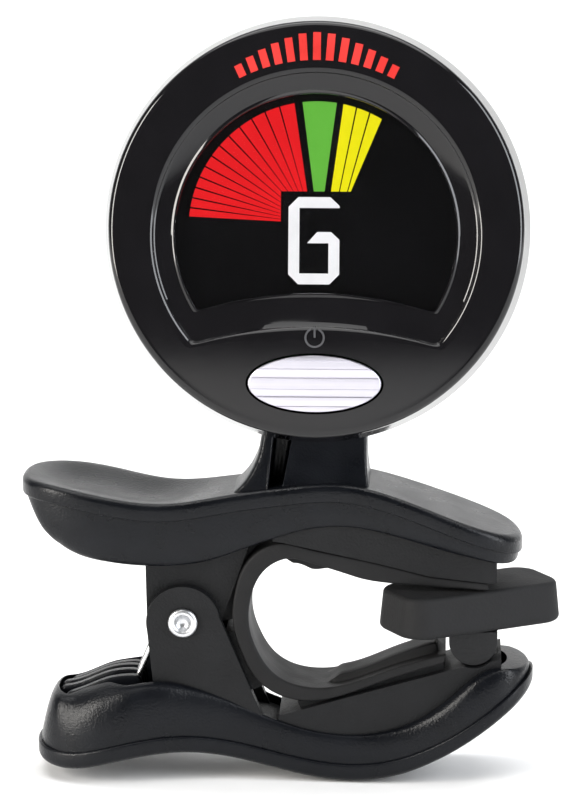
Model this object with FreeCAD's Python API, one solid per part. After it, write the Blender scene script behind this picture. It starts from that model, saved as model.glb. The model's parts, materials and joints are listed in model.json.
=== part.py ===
"""Clip-on tuner: a round display head on a ball joint, carried by a sprung two-lever clip.

Lengths are millimetres. The clip is drawn about its pivot pin (x towards the jaws, y along the
pin, z up) and the head about the middle of its face (x right, y into the head, z up its face).
Every piece is then moved so that the origin is the middle of the jaw pad's gripping face.
"""
import FreeCAD, Part
import math
import os
from FreeCAD import Vector as V

# ---- driving dimensions -------------------------------------------------------------------
PAD_AT = (33.0, 3.8)            # pad's gripping face from the pivot pin: x, z
GAP = 0.2                       # air between pieces that move past each other
FIT = 0.05                      # radial clearance of a running fit
CLEAR = 0.05                    # air between pieces that only sit together

COVER_T = 2.0                   # thickness of a lever cover
BODY_INSET = 0.4                # a lever body stands this far inside its cover
FLOOR_T = 1.2                   # floor of a lever body, against its cover
LOWER_SHIFT = 1.4               # lower lever sits this far nearer the jaws than the upper one
# plan of a lever: x from the pin, half width
HALF_PLAN = [(-17.3, 4.9), (-13.6, 7.4), (-8.1, 8.2), (-2.1, 7.1), (3.9, 5.9), (10.9, 5.5),
             (18.9, 5.7), (26.9, 6.5), (33.0, 6.8), (36.6, 5.3)]
PLAN_ENDS = (-18.5, 38.5)
# side profiles: outer face of each cover, free edge of each body
UPPER_TOP = [(-19.5, 16.6), (-14.0, 16.2), (-8.0, 15.1), (-2.0, 14.25), (5.0, 15.0), (12.0, 15.95),
             (18.5, 16.3), (24.0, 15.1), (31.0, 12.6), (39.5, 9.6)]
UPPER_EDGE = [(-17.9, 14.4), (-16.3, 11.6), (-13.8, 9.1), (-9.0, 7.4), (-3.5, 6.8), (2.0, 7.1),
              (8.0, 9.1), (14.0, 11.0), (18.4, 11.4), (24.0, 10.4), (31.0, 8.5), (38.5, 6.8)]
LOWER_TOP = [(-18.5, -16.4), (-13.5, -17.0), (-8.0, -15.9), (-1.0, -14.9), (5.0, -15.6),
             (12.0, -17.4), (19.0, -18.4), (25.0, -17.4), (32.0, -13.7), (40.5, -7.2)]
LOWER_EDGE = [(-17.0, -14.6), (-15.8, -10.3), (-13.5, -8.4), (-9.0, -6.8), (-3.0, -6.7),
              (2.0, -7.9), (9.8, -11.1), (13.6, -12.4), (18.2, -13.1), (22.9, -12.7),
              (27.5, -10.8), (30.9, -8.1), (34.3, -5.0), (36.8, -3.0), (40.5, -2.8)]

JAW_W = 4.4                     # half width of the jaw blocks and of the strap
EAR_R = 4.2                     # round end of an ear about the pin
LOWER_EAR = (3.5, 4.8)          # y of a lower ear's two faces
UPPER_EAR = (2.2, 3.4)
PIN_R = 1.5
PIN_HEAD_R = 1.7
PIN_HEAD_T = 0.4
COIL_R = 2.7                    # torsion spring: coil to its wire's middle, wire, turns
WIRE_R = 0.4
COIL_TURNS = 4
LOWER_LEG = (-5.6, -8.2)        # ends of the spring's legs: x, z
UPPER_LEG = (-4.0, 7.2)

STRAP_T = 1.5
GRIP_W = 2.2                    # half width of the raised grip on each arm of the strap
PAD = (20.2, 9.6, 4.7)          # rubber pad: length, width, thickness
PAD_CORNER = 3.4
PAD_TURN = 30.0                 # how far the pad is turned on its stem, degrees
ROCKER_R = 2.75
ROCKER_W = 3.9
ROCKER_DROP = 1.25              # rocker axis below the pad
ROCKER_PIN_R = 0.5
LUG_R = 0.85                    # lower jaw's lug that stands in the rocker's slot
LUG_W = 1.3
STEM_R = 1.6
SCREW_R = 0.8
SCREW_HEAD = (1.5, 1.0)         # radius, height
# screws that hold a lever's cover, body and frame: x, head's free end, tip
UPPER_SCREWS = [(16.0, 9.0, 15.2), (27.0, 6.3, 13.2)]
LOWER_SCREWS = [(18.0, -8.9, -17.2), (26.0, -6.3, -15.8)]

BALL_AT = (15.5, -6.8, 32.5)    # ball from the pivot pin
BALL_R = 4.0
LINER_T = 0.7
CUP_R = 5.9
BOSS_R = 7.2
STUD_R = 1.8
NECK_FRONT = -1.4               # y of the neck's face beside the ball
HEAD_TILT = 9.3                 # face tipped up, degrees
HEAD_R = 22.5                   # radius of the face
HEAD_FLARE = 0.7                # extra radius at the seam between the bezel and the rear shell
BEZEL_D = 6.5
HEAD_D = 12.0
BACK_ROUND = [(19.0, 11.6), (21.2, 10.4), (22.6, 8.6)]  # rear shell's shoulder: radius, depth
BALL_IN_HEAD = (13.5, -13.0)    # ball from the face: depth, height
DOME_R = 150.0                  # the face is a shallow dome
RIM_R = 21.7                    # where the dome rolls over into the side wall
RIM_Y = 2.4
FACE_T = 3.5
WALL_R = 21.2
# window outline: circle's radius and height, arch's crown and radius
RECESS = (17.46, -0.7, -10.32, 44.3)
WINDOW = (15.21, -0.6, -6.85, 42.0)
RECESS_Y = (0.9, 2.1)           # depth of the recess at its outer and inner edge
MARK_T = 0.08                   # height of a printed or moulded mark
BUTTON = (14.4, 6.1, -16.6)     # power button: width, height, centre's height on the face
BUTTON_TRAVEL = 0.4
PANEL_Y = (4.9, 5.4)            # back of the display panel, back of its light guide
CELL_R = 10.0                   # 20 mm coin cell
CELL_T = 3.2
CELL_UP = 6.0
DOOR_R = 11.5
BOARD_R = 18.3
BOARD_Y = (5.6, 6.6)
SCREW_AT = [(20.2, 90.0), (20.2, 200.0), (20.2, 340.0)]
METER_R = 13.85                 # outer arc of the meter's lit bars
BLOCK_LOW = 4.13                # foot of the bars beside the note readout
FAR = 60.0

PARTS = {}


# ---- helpers --------------------------------------------------------------------------------
def side(points):
    """Points (x, z) of the clip's side view as vectors."""
    return [V(x, 0, z) for x, z in points]


def through(points, closed=False):
    """Smooth curve through the points."""
    curve = Part.BSplineCurve()
    curve.interpolate(points, PeriodicFlag=closed)
    return curve.toShape()


def slab(wire, low, high):
    """A closed side-view wire given a width from y = low to y = high."""
    face = Part.Face(wire)
    face.translate(V(0, low, 0))
    return face.extrude(V(0, high - low, 0))


def outline(points, low, high):
    """A straight-sided side view given a width."""
    return slab(Part.makePolygon(side(points + points[:1])), low, high)


def bounded(points, limit, half):
    """Everything between a smooth side-view curve and the level z = limit, to +half and -half."""
    (x0, z0), (x1, z1) = points[0], points[-1]
    rest = Part.makePolygon(side([(x1, z1), (x1, limit), (x0, limit), (x0, z0)]))
    return slab(Part.Wire([through(side(points))] + rest.Edges), -half, half)


def band(one, other, half):
    """The stuff between two smooth side-view curves, whichever is the higher."""
    lower, upper = sorted((one, other), key=lambda points: sum(z for x, z in points) / len(points))
    return bounded(upper, -FAR, half).common(bounded(lower, FAR, half))


def lifted(points, by):
    return [(x, z + by) for x, z in points]


def plan(inset, shift):
    """Upright column on a lever's plan outline, drawn in by inset."""
    body = [(x, half - inset) for x, half in HALF_PLAN]
    ring = [(PLAN_ENDS[0] + inset, 0.0)] + body + [(PLAN_ENDS[1] - inset, 0.0)]
    ring += [(x, -half) for x, half in reversed(body)]
    loop = through([V(x + shift, y, -FAR) for x, y in ring], closed=True)
    return Part.Face(Part.Wire(loop)).extrude(V(0, 0, 2 * FAR))


def rod(radius, start, end):
    start = V(*start)
    line = V(*end) - start
    return Part.makeCylinder(radius, line.Length, start, line)


def box(x0, x1, y0, y1, z0, z1):
    return Part.makeBox(x1 - x0, y1 - y0, z1 - z0, V(x0, y0, z0))


def both(make):
    """One shape for each side of the clip, as one group."""
    return [make(1), make(-1)]


def disc(radius, y0, y1, x=0.0, z=0.0):
    """Round plate of the head, facing along y."""
    return Part.makeCylinder(radius, y1 - y0, V(x, y0, z), V(0, 1, 0))


def keep(name, shape):
    """Files one piece, in the clip's frame, under its name."""
    PARTS[name] = shape


def keep_head(name, shape):
    """Files one piece drawn in the head's frame."""
    moved = shape.copy()
    moved.translate(V(0, -BALL_IN_HEAD[0], -BALL_IN_HEAD[1]))
    moved.rotate(V(0, 0, 0), V(1, 0, 0), -HEAD_TILT)
    moved.translate(V(*BALL_AT))
    keep(name, moved)


# ---- levers ----------------------------------------------------------------------------------
def cover(top, thickness, shift):
    """A cover is the plan outline cut to a band under its outer profile."""
    strip = band(top, lifted(top, -thickness), 20)
    return plan(0, shift).common(strip)


def body(top, seam, edge, shift):
    """Trough of a lever and the room along its middle that is cut out of it. The trough runs from
    the cover's seam, lifted from the cover's outer profile, to the free edge."""
    outer = plan(BODY_INSET, shift).common(band(lifted(top, seam), edge, 20))
    floor = math.copysign(FLOOR_T, seam)
    middle = band(lifted(top, seam + floor), lifted(edge, 3 * floor), JAW_W + CLEAR)
    return outer, middle.common(box(-9, 36.5, -FAR, FAR, -FAR, FAR))


def finger_grooves(low, high):
    """Lengthways grooves in the inner side of a finger pad, shorter towards the sides."""
    return [box(-16 + 1.5 * abs(i), -5.2, 1.9 * i - 0.5, 1.9 * i + 0.5, low, high) for i in range(-3, 4)]


def lever_screw(x, head, tip):
    way = math.copysign(SCREW_HEAD[1], tip - head)
    screw = rod(SCREW_HEAD[0], (x, 0, head), (x, 0, head + way))
    return screw.fuse(rod(SCREW_R, (x, 0, head + way), (x, 0, tip))).removeSplitter()


def ear(corners, faces):
    """Ear with a round end about the pin; corners run from the left tangent to the right one."""
    def one(way):
        low, high = sorted((way * faces[0], way * faces[1]))
        plate = outline(corners, low, high)
        plate = plate.fuse(Part.makeCylinder(EAR_R, high - low, V(0, low, 0), V(0, 1, 0)))
        bore = Part.makeCylinder(PIN_R + FIT, high - low, V(0, low, 0), V(0, 1, 0))
        return plate.cut(bore)
    return both(one)


def neck():
    """Column from the upper cover to the ball, with a side fin and a groove between them."""
    column = outline([(10.6, 13.5), (12.5, 22.0), (11.0, 31.5), (20.0, 33.5), (20.8, 22.0), (20.8, 13.5)], -6, 6)
    column = column.fuse(Part.makeCylinder(4.6, 12, V(BALL_AT[0], -6, BALL_AT[2]), V(0, 1, 0)))
    flare = Part.Wire([
        Part.Arc(V(5.6, 0, 14.6), V(8.2, 0, 17.6), V(9.1, 0, 23.0)).toShape(),
        Part.makeLine(V(9.1, 0, 23.0), V(11.6, 0, 30.0)),
        Part.makeLine(V(11.6, 0, 30.0), V(14.0, 0, 13.0)),
        Part.makeLine(V(14.0, 0, 13.0), V(5.6, 0, 14.6))])
    fin = slab(flare, -6, 6)
    groove = outline([(9.35, 13.0), (10.3, 22.0), (11.2, 26.0), (11.9, 26.0), (12.5, 22.0), (10.6, 13.0)], -6, 0.8)
    lean = [(-4.0, 13.0), (-4.0, 16.0), (NECK_FRONT, 27.0), (NECK_FRONT, 40.0), (3.4, 40.0), (4.0, 13.0)]
    wall = Part.Face(Part.makePolygon([V(0, y, z) for y, z in lean + lean[:1]])).extrude(V(40, 0, 0))
    return column.fuse(fin).cut(groove).common(wall)


def upper_frame():
    """Beam in the upper body, the textured jaw block below it, the two inner ears and the guard
    between them that closes the gap to the strap."""
    beam = band(lifted(UPPER_TOP, -COVER_T - FLOOR_T - CLEAR), lifted(UPPER_EDGE, 1.0), JAW_W)
    beam = beam.common(box(-4.4, 35.0, -JAW_W, JAW_W, -FAR, FAR))
    block = outline([(10.2, 12.0), (10.2, 9.5), (11.2, 9.4), (22.4, 7.0), (28.0, 5.6), (34.9, 4.85),
                     (35.6, 5.0), (35.6, 8.8), (18.0, 12.5)], -JAW_W, JAW_W)
    guard = outline([(3.5, -0.6), (3.5, 3.0), (2.6, 9.6), (9.2, 9.4), (7.3, 7.3), (5.95, 3.4), (5.65, -0.2)],
                    -UPPER_EAR[0], UPPER_EAR[0])
    ears = ear([(-EAR_R, 0.0), (-4.4, 10.0), (7.9, 10.0), (4.1, -0.9)], UPPER_EAR)
    return beam.fuse(block).fuse(guard).fuse(ears[0]).fuse(ears[1])


def lower_frame():
    """Beam in the lower body, the jaw block and its web, the two outer ears with the guard between
    them, and the pad's lug."""
    beam = band(lifted(LOWER_EDGE, -1.0), lifted(LOWER_TOP, COVER_T + FLOOR_T + CLEAR), JAW_W)
    beam = beam.common(box(-3.0, 35.0, -JAW_W, JAW_W, -FAR, FAR))
    block = outline([(10.5, -13.0), (10.9, -11.0), (30.6, -5.3), (36.2, -4.0), (36.2, -7.5), (30.0, -12.0),
                     (20.0, -14.6)], -JAW_W, JAW_W)
    web = outline([(14.0, -12.0), (13.0, -9.6), (15.5, -9.25), (29.6, -4.65), (30.2, -8.0)], -3.2, 3.2)
    x, z = PAD_AT[0], rocker_z()
    seat = rod(ROCKER_R + GAP, (x, -FAR, z), (x, FAR, z))
    lug = outline([(x - LUG_R, -8.0), (x - LUG_R, z), (x + LUG_R, z), (x + LUG_R, -8.0)], -LUG_W, LUG_W)
    lug = lug.fuse(rod(LUG_R, (x, -LUG_W, z), (x, LUG_W, z)))
    bore = rod(ROCKER_PIN_R + FIT, (x, -FAR, z), (x, FAR, z))
    guard = outline([(4.75, -1.5), (5.75, -1.3), (6.65, -3.8), (8.2, -6.7), (9.0, -7.7), (7.6, -8.3), (6.2, -5.2)],
                    -LOWER_EAR[0], LOWER_EAR[0])
    ears = ear([(-EAR_R, 0.0), (-3.2, -9.5), (9.7, -12.5), (3.9, 1.2)], LOWER_EAR)
    frame = beam.fuse(block).fuse(web).fuse(guard).fuse(ears[0]).fuse(ears[1])
    return frame.cut(seat).fuse(lug).cut(bore)


def clip_levers():
    """Each lever is a cover, a body and a frame, held together by two screws."""
    screws = [lever_screw(*spot) for spot in UPPER_SCREWS]
    keep("upper_lever_screws", Part.Compound(screws))
    frame = upper_frame().cut(screws)
    keep("upper_frame", frame.removeSplitter())
    shell, middle = body(UPPER_TOP, -COVER_T, UPPER_EDGE, 0)
    keep("upper_body", shell.cut([middle, frame] + finger_grooves(0, 11.2) + screws))
    top_cover = cover(UPPER_TOP, COVER_T, 0).fuse(neck().cut(shell))
    keep("upper_cover", top_cover.cut([ball_stud_shape()] + screws).removeSplitter())

    screws = [lever_screw(*spot) for spot in LOWER_SCREWS]
    keep("lower_lever_screws", Part.Compound(screws))
    frame = lower_frame().cut(screws)
    keep("lower_frame", frame.removeSplitter())
    shell, middle = body(LOWER_TOP, COVER_T, LOWER_EDGE, LOWER_SHIFT)
    keep("lower_body", shell.cut([middle, frame] + finger_grooves(-12.5, 0) + screws))
    keep("lower_cover", cover(lifted(LOWER_TOP, COVER_T), COVER_T, LOWER_SHIFT).cut(screws))


# ---- pivot, spring, strap and pad --------------------------------------------------------------
def pivot():
    """Hollow rivet through the four ears, and the closing spring round it."""
    reach = LOWER_EAR[1] + GAP
    pin = rod(PIN_R, (0, -reach, 0), (0, reach, 0))
    heads = both(lambda way: rod(PIN_HEAD_R, (0, way * reach, 0), (0, way * (reach + PIN_HEAD_T), 0)))
    dimples = both(lambda way: Part.makeSphere(1.5, V(0, way * (reach + PIN_HEAD_T + 0.9), 0)))
    keep("pivot_pin", pin.fuse(heads).cut(dimples).removeSplitter())

    pitch = 2 * WIRE_R + CLEAR
    half = pitch * COIL_TURNS / 2
    steps = 12
    coil = []
    for i in range(steps * COIL_TURNS + 1):
        turn = 2 * math.pi * i / steps
        coil.append(V(-COIL_R * math.cos(turn), pitch * i / steps - half, COIL_R * math.sin(turn)))
    feet = [V(LOWER_LEG[0], -half, LOWER_LEG[1]), V(UPPER_LEG[0], half, UPPER_LEG[1])]
    middles = [(foot + end) * 0.5 for foot, end in zip(feet, (coil[0], coil[-1]))]
    path = through([feet[0], middles[0]] + coil + [middles[1], feet[1]])
    section = Part.Wire(Part.makeCircle(WIRE_R, feet[0], path.tangentAt(path.FirstParameter)))
    keep("torsion_spring", Part.Wire(path).makePipeShell([section], True, True))


def strap():
    """One rubber strap: a C behind the throat with an arm along each jaw and a raised grip on each."""
    outer = through(side([(11.2, 9.3), (7.9, 7.2), (6.2, 3.2), (5.9, -0.4), (6.9, -3.6), (8.6, -6.6),
                          (11.4, -8.6), (15.5, -9.2)]))
    inner = through(side([(12.6, 7.6), (9.4, 6.2), (7.8, 3.2), (7.5, -0.2), (8.3, -3.0), (9.9, -5.6),
                          (12.4, -7.2), (16.6, -7.6)]))
    top = [(11.2, 9.3), (22.4, 6.95), (28.0, 5.55), (34.6, 4.8), (34.6, 4.05), (23.2, 4.05), (20.4, 4.85),
           (18.6, 6.1), (12.6, 7.6)]
    low = [(15.5, -9.2), (29.6, -4.6), (29.9, -3.5), (16.6, -7.6)]
    edges = [outer, Part.makePolygon(side(low)), inner, Part.makePolygon(side(top))]
    band_wire = Part.Wire(Part.__sortEdges__([edge for part in edges for edge in part.Edges]))
    liner = slab(band_wire, -JAW_W, JAW_W)
    upper_grip = outline([(13.0, 7.8), (13.4, 6.5), (24.0, 4.05), (26.0, 4.05), (22.4, 5.8)], -GRIP_W, GRIP_W)
    lower_grip = outline([(16.9, -8.0), (17.1, -6.5), (26.5, -4.2), (28.5, -4.2)], -GRIP_W, GRIP_W)
    keep("jaw_strap", liner.fuse([upper_grip, lower_grip]).removeSplitter())


def rocker_z():
    return PAD_AT[1] - PAD[2] - ROCKER_DROP


def pad():
    """Rubber pad on the stem of a rocker that tips on a pin in the lower jaw."""
    x, top = PAD_AT
    low = top - PAD[2]
    block = box(x - PAD[0] / 2, x + PAD[0] / 2, -PAD[1] / 2, PAD[1] / 2, low, top)
    upright = [edge for edge in block.Edges if abs(edge.tangentAt(edge.FirstParameter).z) > 0.9]
    block = block.makeFillet(PAD_CORNER, upright)
    rims = [edge for edge in block.Edges if abs(edge.BoundBox.ZLength) < 0.01]
    block = block.makeFillet(0.5, rims)
    block.rotate(V(x, 0, 0), V(0, 0, 1), PAD_TURN)
    hole = rod(STEM_R + FIT, (x, 0, low), (x, 0, low + 2.2))
    hole = hole.fuse(rod(STEM_R + 0.8 + FIT, (x, 0, low + 1.3), (x, 0, low + 2.5)))
    keep("jaw_pad", block.cut(hole))

    axis = rocker_z()
    top = low - CLEAR
    cheeks = rod(ROCKER_R, (x, -ROCKER_W, axis), (x, ROCKER_W, axis)).common(box(-FAR, FAR, -FAR, FAR, -FAR, axis))
    cheeks = cheeks.fuse(box(x - ROCKER_R, x + ROCKER_R, -ROCKER_W, ROCKER_W, axis, top))
    slot = box(x - FAR, x + FAR, -LUG_W - GAP, LUG_W + GAP, -FAR, axis + LUG_R + GAP)
    stem = rod(STEM_R, (x, 0, top), (x, 0, low + 1.4))
    stem = stem.fuse(rod(STEM_R + 0.8, (x, 0, low + 1.35), (x, 0, low + 2.4)))
    bore = rod(ROCKER_PIN_R, (x, -3.0, axis), (x, ROCKER_W, axis))
    keep("pad_rocker", cheeks.cut(slot).fuse(stem).cut(bore).removeSplitter())
    keep("rocker_pin", bore)


# ---- ball joint ----------------------------------------------------------------------------------
def ball_stud_shape():
    """Ball, its waist and the shank that the neck is moulded round."""
    x, y, z = BALL_AT
    stud = Part.makeSphere(BALL_R, V(x, y, z))
    stud = stud.fuse(rod(STUD_R, (x, y, z), (x, 2.2, z)))
    return stud.fuse(rod(STUD_R + 0.5, (x, -0.4, z), (x, 0.4, z))).removeSplitter()


def ball_joint():
    """Liner that tips on the ball, cup that turns on the liner, and the cup's retaining ring."""
    keep("ball_stud", ball_stud_shape())
    depth, up = BALL_IN_HEAD
    centre = V(0, depth, up)
    back = depth + 2.0
    inside = BALL_R + 0.03
    keep_part = disc(9, depth - 9, back, 0, up)
    ball = Part.makeSphere(inside + LINER_T, centre)
    keep_head("ball_liner", ball.cut(Part.makeSphere(inside, centre)).common(keep_part).cut(
        disc(2.2, depth - 9, depth, 0, up)))
    hollow = Part.makeSphere(inside + LINER_T + 0.03, centre)
    cup = disc(CUP_R, depth - CUP_R, back - 0.1, 0, up)
    keep_head("socket_cup", cup.cut(hollow))
    ring = disc(BOSS_R, back - 0.05, back + 0.5, 0, up).cut(disc(4.6, back - 1, back + 1, 0, up))
    keep_head("socket_ring", ring)


# ---- head -------------------------------------------------------------------------------------------
def spun(points, rounding=()):
    """Solid of revolution about the head's axis from (radius, depth) points, closed by a straight
    line or, through the points of a rounding, by a smooth curve."""
    corners = [V(r, y, 0) for r, y in points]
    closing = [corners[-1]] + [V(r, y, 0) for r, y in rounding] + [corners[0]]
    edges = Part.makePolygon(corners).Edges + [through(closing)]
    return Part.Face(Part.Wire(edges)).revolve(V(0, 0, 0), V(0, 1, 0), 360)


def dome(lift, inner, outer):
    """Solid under the domed face out to the outer radius, raised by lift, back to a flat at inner depth."""
    def sag(r):
        return r ** 2 / (2 * DOME_R) - lift
    arc = Part.Arc(V(0, sag(0), 0), V(outer / 2, sag(outer / 2), 0), V(outer, sag(outer), 0)).toShape()
    rest = Part.makePolygon([V(outer, sag(outer), 0), V(outer, inner, 0), V(0, inner, 0), V(0, sag(0), 0)])
    return Part.Face(Part.Wire([arc] + rest.Edges)).revolve(V(0, 0, 0), V(0, 1, 0), 360)


def on_face(prisms):
    """Upright prisms cut down to thin marks that follow the domed face."""
    skin = dome(MARK_T, 5, WALL_R).cut(dome(0, 6, WALL_R + 1))
    return Part.Compound([prism.common(skin) for prism in prisms])


def dee(shape, y, grow=0.0):
    """Window outline at depth y: a circle closed by a gentle arch, grown evenly on request."""
    radius, middle, crown, arch = shape
    radius += grow
    crown -= grow
    arch -= grow
    apart = middle - crown + arch
    drop = (radius ** 2 - arch ** 2 + apart ** 2) / (2 * apart)
    half = math.sqrt(radius ** 2 - drop ** 2)
    left, right = V(-half, y, middle - drop), V(half, y, middle - drop)
    return Part.Wire([Part.Arc(left, V(0, y, middle + radius), right).toShape(),
                      Part.Arc(right, V(0, y, crown), left).toShape()])


def dee_plate(grow, y0, y1):
    """Plate of the window's outline, grown evenly."""
    return Part.Face(dee(WINDOW, y0, grow)).extrude(V(0, y1 - y0, 0))


def ellipse(width, height, y0, y1, up):
    curve = Part.Ellipse(V(0, y0, up), width / 2, height / 2)
    edge = curve.toShape()
    edge.rotate(V(0, y0, up), V(1, 0, 0), 90)
    return Part.Face(Part.Wire(edge)).extrude(V(0, y1 - y0, 0))


def screw_spots():
    return [(r * math.cos(math.radians(a)), r * math.sin(math.radians(a))) for r, a in SCREW_AT]


def casing():
    """Bezel, window, rear shell, battery door and case screws."""
    wide = HEAD_R + HEAD_FLARE
    rim_start = RIM_R ** 2 / (2 * DOME_R)
    rim = spun([(0, rim_start), (RIM_R, rim_start), (HEAD_R - 0.2, rim_start + 0.3), (HEAD_R, RIM_Y),
                (wide, BEZEL_D), (0, BEZEL_D)])
    bezel = rim.fuse(dome(0, FACE_T, RIM_R))
    bezel = bezel.cut(disc(WALL_R, FACE_T, BEZEL_D))
    posts = [disc(1.7, FACE_T - 0.5, BEZEL_D, x, z) for x, z in screw_spots()]
    bezel = bezel.fuse([post.common(disc(WALL_R + 0.5, 0, BEZEL_D)) for post in posts])
    start, depth = RECESS_Y
    recess = Part.makeLoft([dee(RECESS, start), dee(WINDOW, depth)], True)
    mouth = Part.Face(dee(RECESS, -1)).extrude(V(0, start + 1, 0))
    bezel = bezel.cut([mouth, recess, dee_plate(0, depth - 0.1, FACE_T), dee_plate(0.7, depth + 0.2, FACE_T),
                       ellipse(BUTTON[0] + 0.5, BUTTON[1] + 0.5, -1, FACE_T, BUTTON[2])])
    shanks = [disc(SCREW_R, 3.6, 11.0, x, z) for x, z in screw_spots()]
    keep_head("front_bezel", bezel.cut(shanks).removeSplitter())
    window = dee_plate(-CLEAR, depth, FACE_T - 0.1)
    lip = dee_plate(0.6, depth + 0.25, FACE_T - 0.1)
    keep_head("display_window", window.fuse(lip).removeSplitter())

    seam = BEZEL_D + 0.02
    envelope = spun([(wide, seam), (0, seam), (0, HEAD_D), (16.5, HEAD_D)], BACK_ROUND)
    hollow = [(WALL_R, BEZEL_D), (0, BEZEL_D), (0, 10.4), (17.5, 10.4)]
    shell = envelope.cut(spun(hollow, [(19.4, 9.6), (20.9, 8.0)]))
    depth, up = BALL_IN_HEAD
    boss = disc(BOSS_R, depth - CUP_R - 0.9, depth + 1.9, 0, up)
    bore = disc(CUP_R + FIT, depth - CUP_R - 0.05, depth + 5, 0, up)
    rim = disc(DOOR_R + 1.4, 8.8, HEAD_D, 0, CELL_UP).cut(disc(FAR, 0, 8.8))
    cavity = disc(DOOR_R + FIT, 10.4, HEAD_D + 1, 0, CELL_UP).fuse(disc(CELL_R + 0.7, 7, 11, 0, CELL_UP))
    posts = [disc(1.7, seam, 11.3, x, z).common(envelope) for x, z in screw_spots()]
    heads = [disc(SCREW_HEAD[0] + 0.1, 9.3, 14, x, z) for x, z in screw_spots()]
    shell = shell.fuse([boss, rim.common(envelope)] + posts)
    groove = disc(DOOR_R + 0.8, 10.4, 11.1, 0, CELL_UP)
    shell = shell.cut([bore, cavity, groove] + heads + shanks)
    keep_head("rear_shell", shell.removeSplitter())

    door = disc(DOOR_R, 10.5, HEAD_D, 0, CELL_UP)
    lugs = [box(x - 1.5, x + 1.5, 10.5, 11.0, CELL_UP - 1.2, CELL_UP + 1.2) for x in (-DOOR_R + 0.9, DOOR_R - 0.9)]
    coin_slot = box(-4.0, 4.0, 11.2, 13.0, CELL_UP - 0.7, CELL_UP + 0.7)
    keep_head("battery_door", door.fuse(lugs).cut(coin_slot).removeSplitter())
    screws = [disc(SCREW_R, 3.7, 9.35, x, z).fuse(disc(SCREW_HEAD[0], 9.35, 10.2, x, z)).cut(
        box(x - 1.1, x + 1.1, 9.8, 12, z - 0.2, z + 0.2)) for x, z in screw_spots()]
    keep_head("case_screws", Part.Compound([screw.removeSplitter() for screw in screws]))


def button():
    """Oval power button over a dome switch, with the standby mark above it."""
    width, height, up = BUTTON
    cap = ellipse(width, height, 0.25, 3.0, up)
    flange = ellipse(width + 1.2, height + 1.2, FACE_T + 0.1, FACE_T + 0.5, up)
    cap = cap.fuse(flange).fuse(ellipse(width - 1.0, height - 1.0, 2.5, FACE_T + 0.2, up))
    keep_head("power_button", cap.removeSplitter())
    keep_head("button_plunger", disc(1.0, FACE_T + 0.5, 4.3, 0, up))
    keep_head("dome_switch", box(-2.2, 2.2, 4.3 + BUTTON_TRAVEL + CLEAR, BOARD_Y[0], up - 1.5, up + 1.5))
    middle = up + 4.99
    ring = disc(1.1, -1, 3, 0, middle).cut(disc(0.88, -2, 4, 0, middle))
    ring = ring.cut(box(-0.42, 0.42, -2, 4, middle + 0.2, middle + 3))
    bar = box(-0.11, 0.11, -1, 3, middle, middle + 1.15)
    keep_head("standby_mark", on_face([ring, bar]))


def wedge(apex, left, right, inner, y0, y1):
    """One lit bar of the meter: two rays from the apex between an inner line and the outer arc."""
    outer = METER_R
    rays = [V(outer * math.cos(math.radians(a)), y0, outer * math.sin(math.radians(a))) for a in (left, right)]
    inners = inner if inner else [V(apex[0], y0, apex[1])] * 2
    middle = math.radians((left + right) / 2)
    arc = Part.Arc(rays[0], V(outer * math.cos(middle), y0, outer * math.sin(middle)), rays[1]).toShape()
    loop = [arc, Part.makeLine(rays[1], inners[1])]
    if (inners[0] - inners[1]).Length > 1e-6:
        loop.append(Part.makeLine(inners[1], inners[0]))
    loop.append(Part.makeLine(inners[0], rays[0]))
    return Part.Face(Part.Wire(loop)).extrude(V(0, y1 - y0, 0))


def display():
    """Panel, its lit segments, the light guide behind it and its contact strip."""
    y = FACE_T
    face = y + 0.12
    keep_head("lcd_panel", dee_plate(1.4, face, PANEL_Y[0]))
    keep_head("light_guide", dee_plate(1.4, PANEL_Y[0], PANEL_Y[1]))
    keep_head("contact_strip", box(-9, 9, PANEL_Y[0], BOARD_Y[0], -11.2, -10.2))
    gap = 0.35
    apex = (-0.5, 0.7)
    hub = box(-3.86, 20, y - 1, y + 1, -20, BLOCK_LOW)
    turns = [174.8 - 4.2 * i - 0.12 * i * i for i in range(14)]
    red = [wedge(apex, turns[i] - gap, turns[i + 1] + gap, None, y, face).cut(hub) for i in range(13)]
    keep_head("meter_red", Part.Compound(red))
    keep_head("meter_green", wedge(apex, 96.6, 81.2, [V(-0.31, y, BLOCK_LOW), V(0.86, y, BLOCK_LOW)], y, face))
    feet = [1.49, 2.46, 3.34, 3.75]
    yellow = []
    for i in range(3):
        left = 78.5 - 6.37 * i
        ends = [V(feet[i] + 0.06, y, BLOCK_LOW), V(feet[i + 1] - 0.06, y, BLOCK_LOW)]
        yellow.append(wedge(apex, left - gap, left - 6.37 + gap, ends, y, face))
    keep_head("meter_yellow", Part.Compound(yellow))
    keep_head("note_readout", note(y, face))


def note(y0, y1):
    """Segment letter of the note readout: a G with cut corners."""
    left, right, low, high, wide, cut = -3.02, 2.5, -5.92, 3.52, 1.18, 1.07
    outer = [(left + cut, high), (right - 1.0, high), (right, high - 0.95), (right, high - wide),
             (left + wide, high - wide), (left + wide, low + wide), (right - wide, low + wide),
             (right - wide, -1.47), (-1.0, -1.47), (0.1, -0.25), (right - 0.9, -0.25),
             (right, -1.09), (right, low + cut), (right - cut, low), (left + cut, low),
             (left, low + cut), (left, high - cut)]
    wire = Part.makePolygon([V(x, y0, z) for x, z in outer + outer[:1]])
    return Part.Face(wire).extrude(V(0, y1 - y0, 0))


def level_bars():
    """Red mark along the top of the face: a row of radial bars, tallest in the middle."""
    bars = []
    for i in range(-6, 7):
        tall = 3.2 - 0.3 * abs(i)
        bar = box(-0.42, 0.42, -1, 4, 18.2, 18.2 + tall)
        bar.rotate(V(0, 0, 0), V(0, 1, 0), 4.3 * i)
        bars.append(bar)
    keep_head("level_mark", on_face(bars))


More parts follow.
